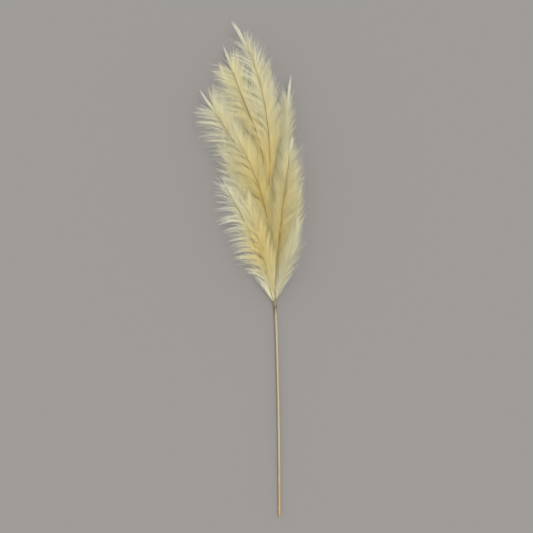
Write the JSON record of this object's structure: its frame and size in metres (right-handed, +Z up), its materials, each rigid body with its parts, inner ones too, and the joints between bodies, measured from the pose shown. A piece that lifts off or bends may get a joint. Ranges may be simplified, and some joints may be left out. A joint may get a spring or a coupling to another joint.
{
  "type": "dried pampas grass stem",
  "caption": "Dried pampas grass: a long feathery plume of silky golden-cream hairs on arching branches, on a bare straw stem, lying down.",
  "frame": {"origin": "under the middle of the whole on the surface that it lies on", "axes": "+Y along the stem from the cut end to the plume's tip, +X to the right seen from above, +Z up"},
  "size_m": [0.2216, 1.1024, 0.0811],
  "materials": {
    "straw_stem": "dry straw, satin, finely ribbed along its length",
    "branch_stalk": "thin dry olive-brown stalk, matte",
    "silky_hair": "fine silky hairs, golden at the roots and cream at the tips"
  },
  "bodies": {
    "root": {"stem": "straw_stem", "branch_rib_01": "branch_stalk", "branch_rib_02": "branch_stalk", "branch_rib_03": "branch_stalk", "branch_rib_04": "branch_stalk", "branch_rib_05": "branch_stalk", "branch_rib_06": "branch_stalk", "branch_rib_07": "branch_stalk", "branch_rib_08": "branch_stalk", "branch_rib_09": "branch_stalk", "branch_rib_10": "branch_stalk", "branch_rib_11": "branch_stalk", "branch_rib_12": "branch_stalk", "branch_rib_13": "branch_stalk", "branch_rib_14": "branch_stalk", "branch_rib_15": "branch_stalk", "branch_rib_16": "branch_stalk", "branch_rib_17": "branch_stalk", "branch_rib_18": "branch_stalk", "branch_fringe_01": "silky_hair", "branch_fringe_02": "silky_hair", "branch_fringe_03": "silky_hair", "branch_fringe_04": "silky_hair", "branch_fringe_05": "silky_hair", "branch_fringe_06": "silky_hair", "branch_fringe_07": "silky_hair", "branch_fringe_08": "silky_hair", "branch_fringe_09": "silky_hair", "branch_fringe_10": "silky_hair", "branch_fringe_11": "silky_hair", "branch_fringe_12": "silky_hair", "branch_fringe_13": "silky_hair", "branch_fringe_14": "silky_hair", "branch_fringe_15": "silky_hair", "branch_fringe_16": "silky_hair", "branch_fringe_17": "silky_hair", "branch_fringe_18": "silky_hair", "tip_fringe": "silky_hair"}
  },
  "joints": []
}
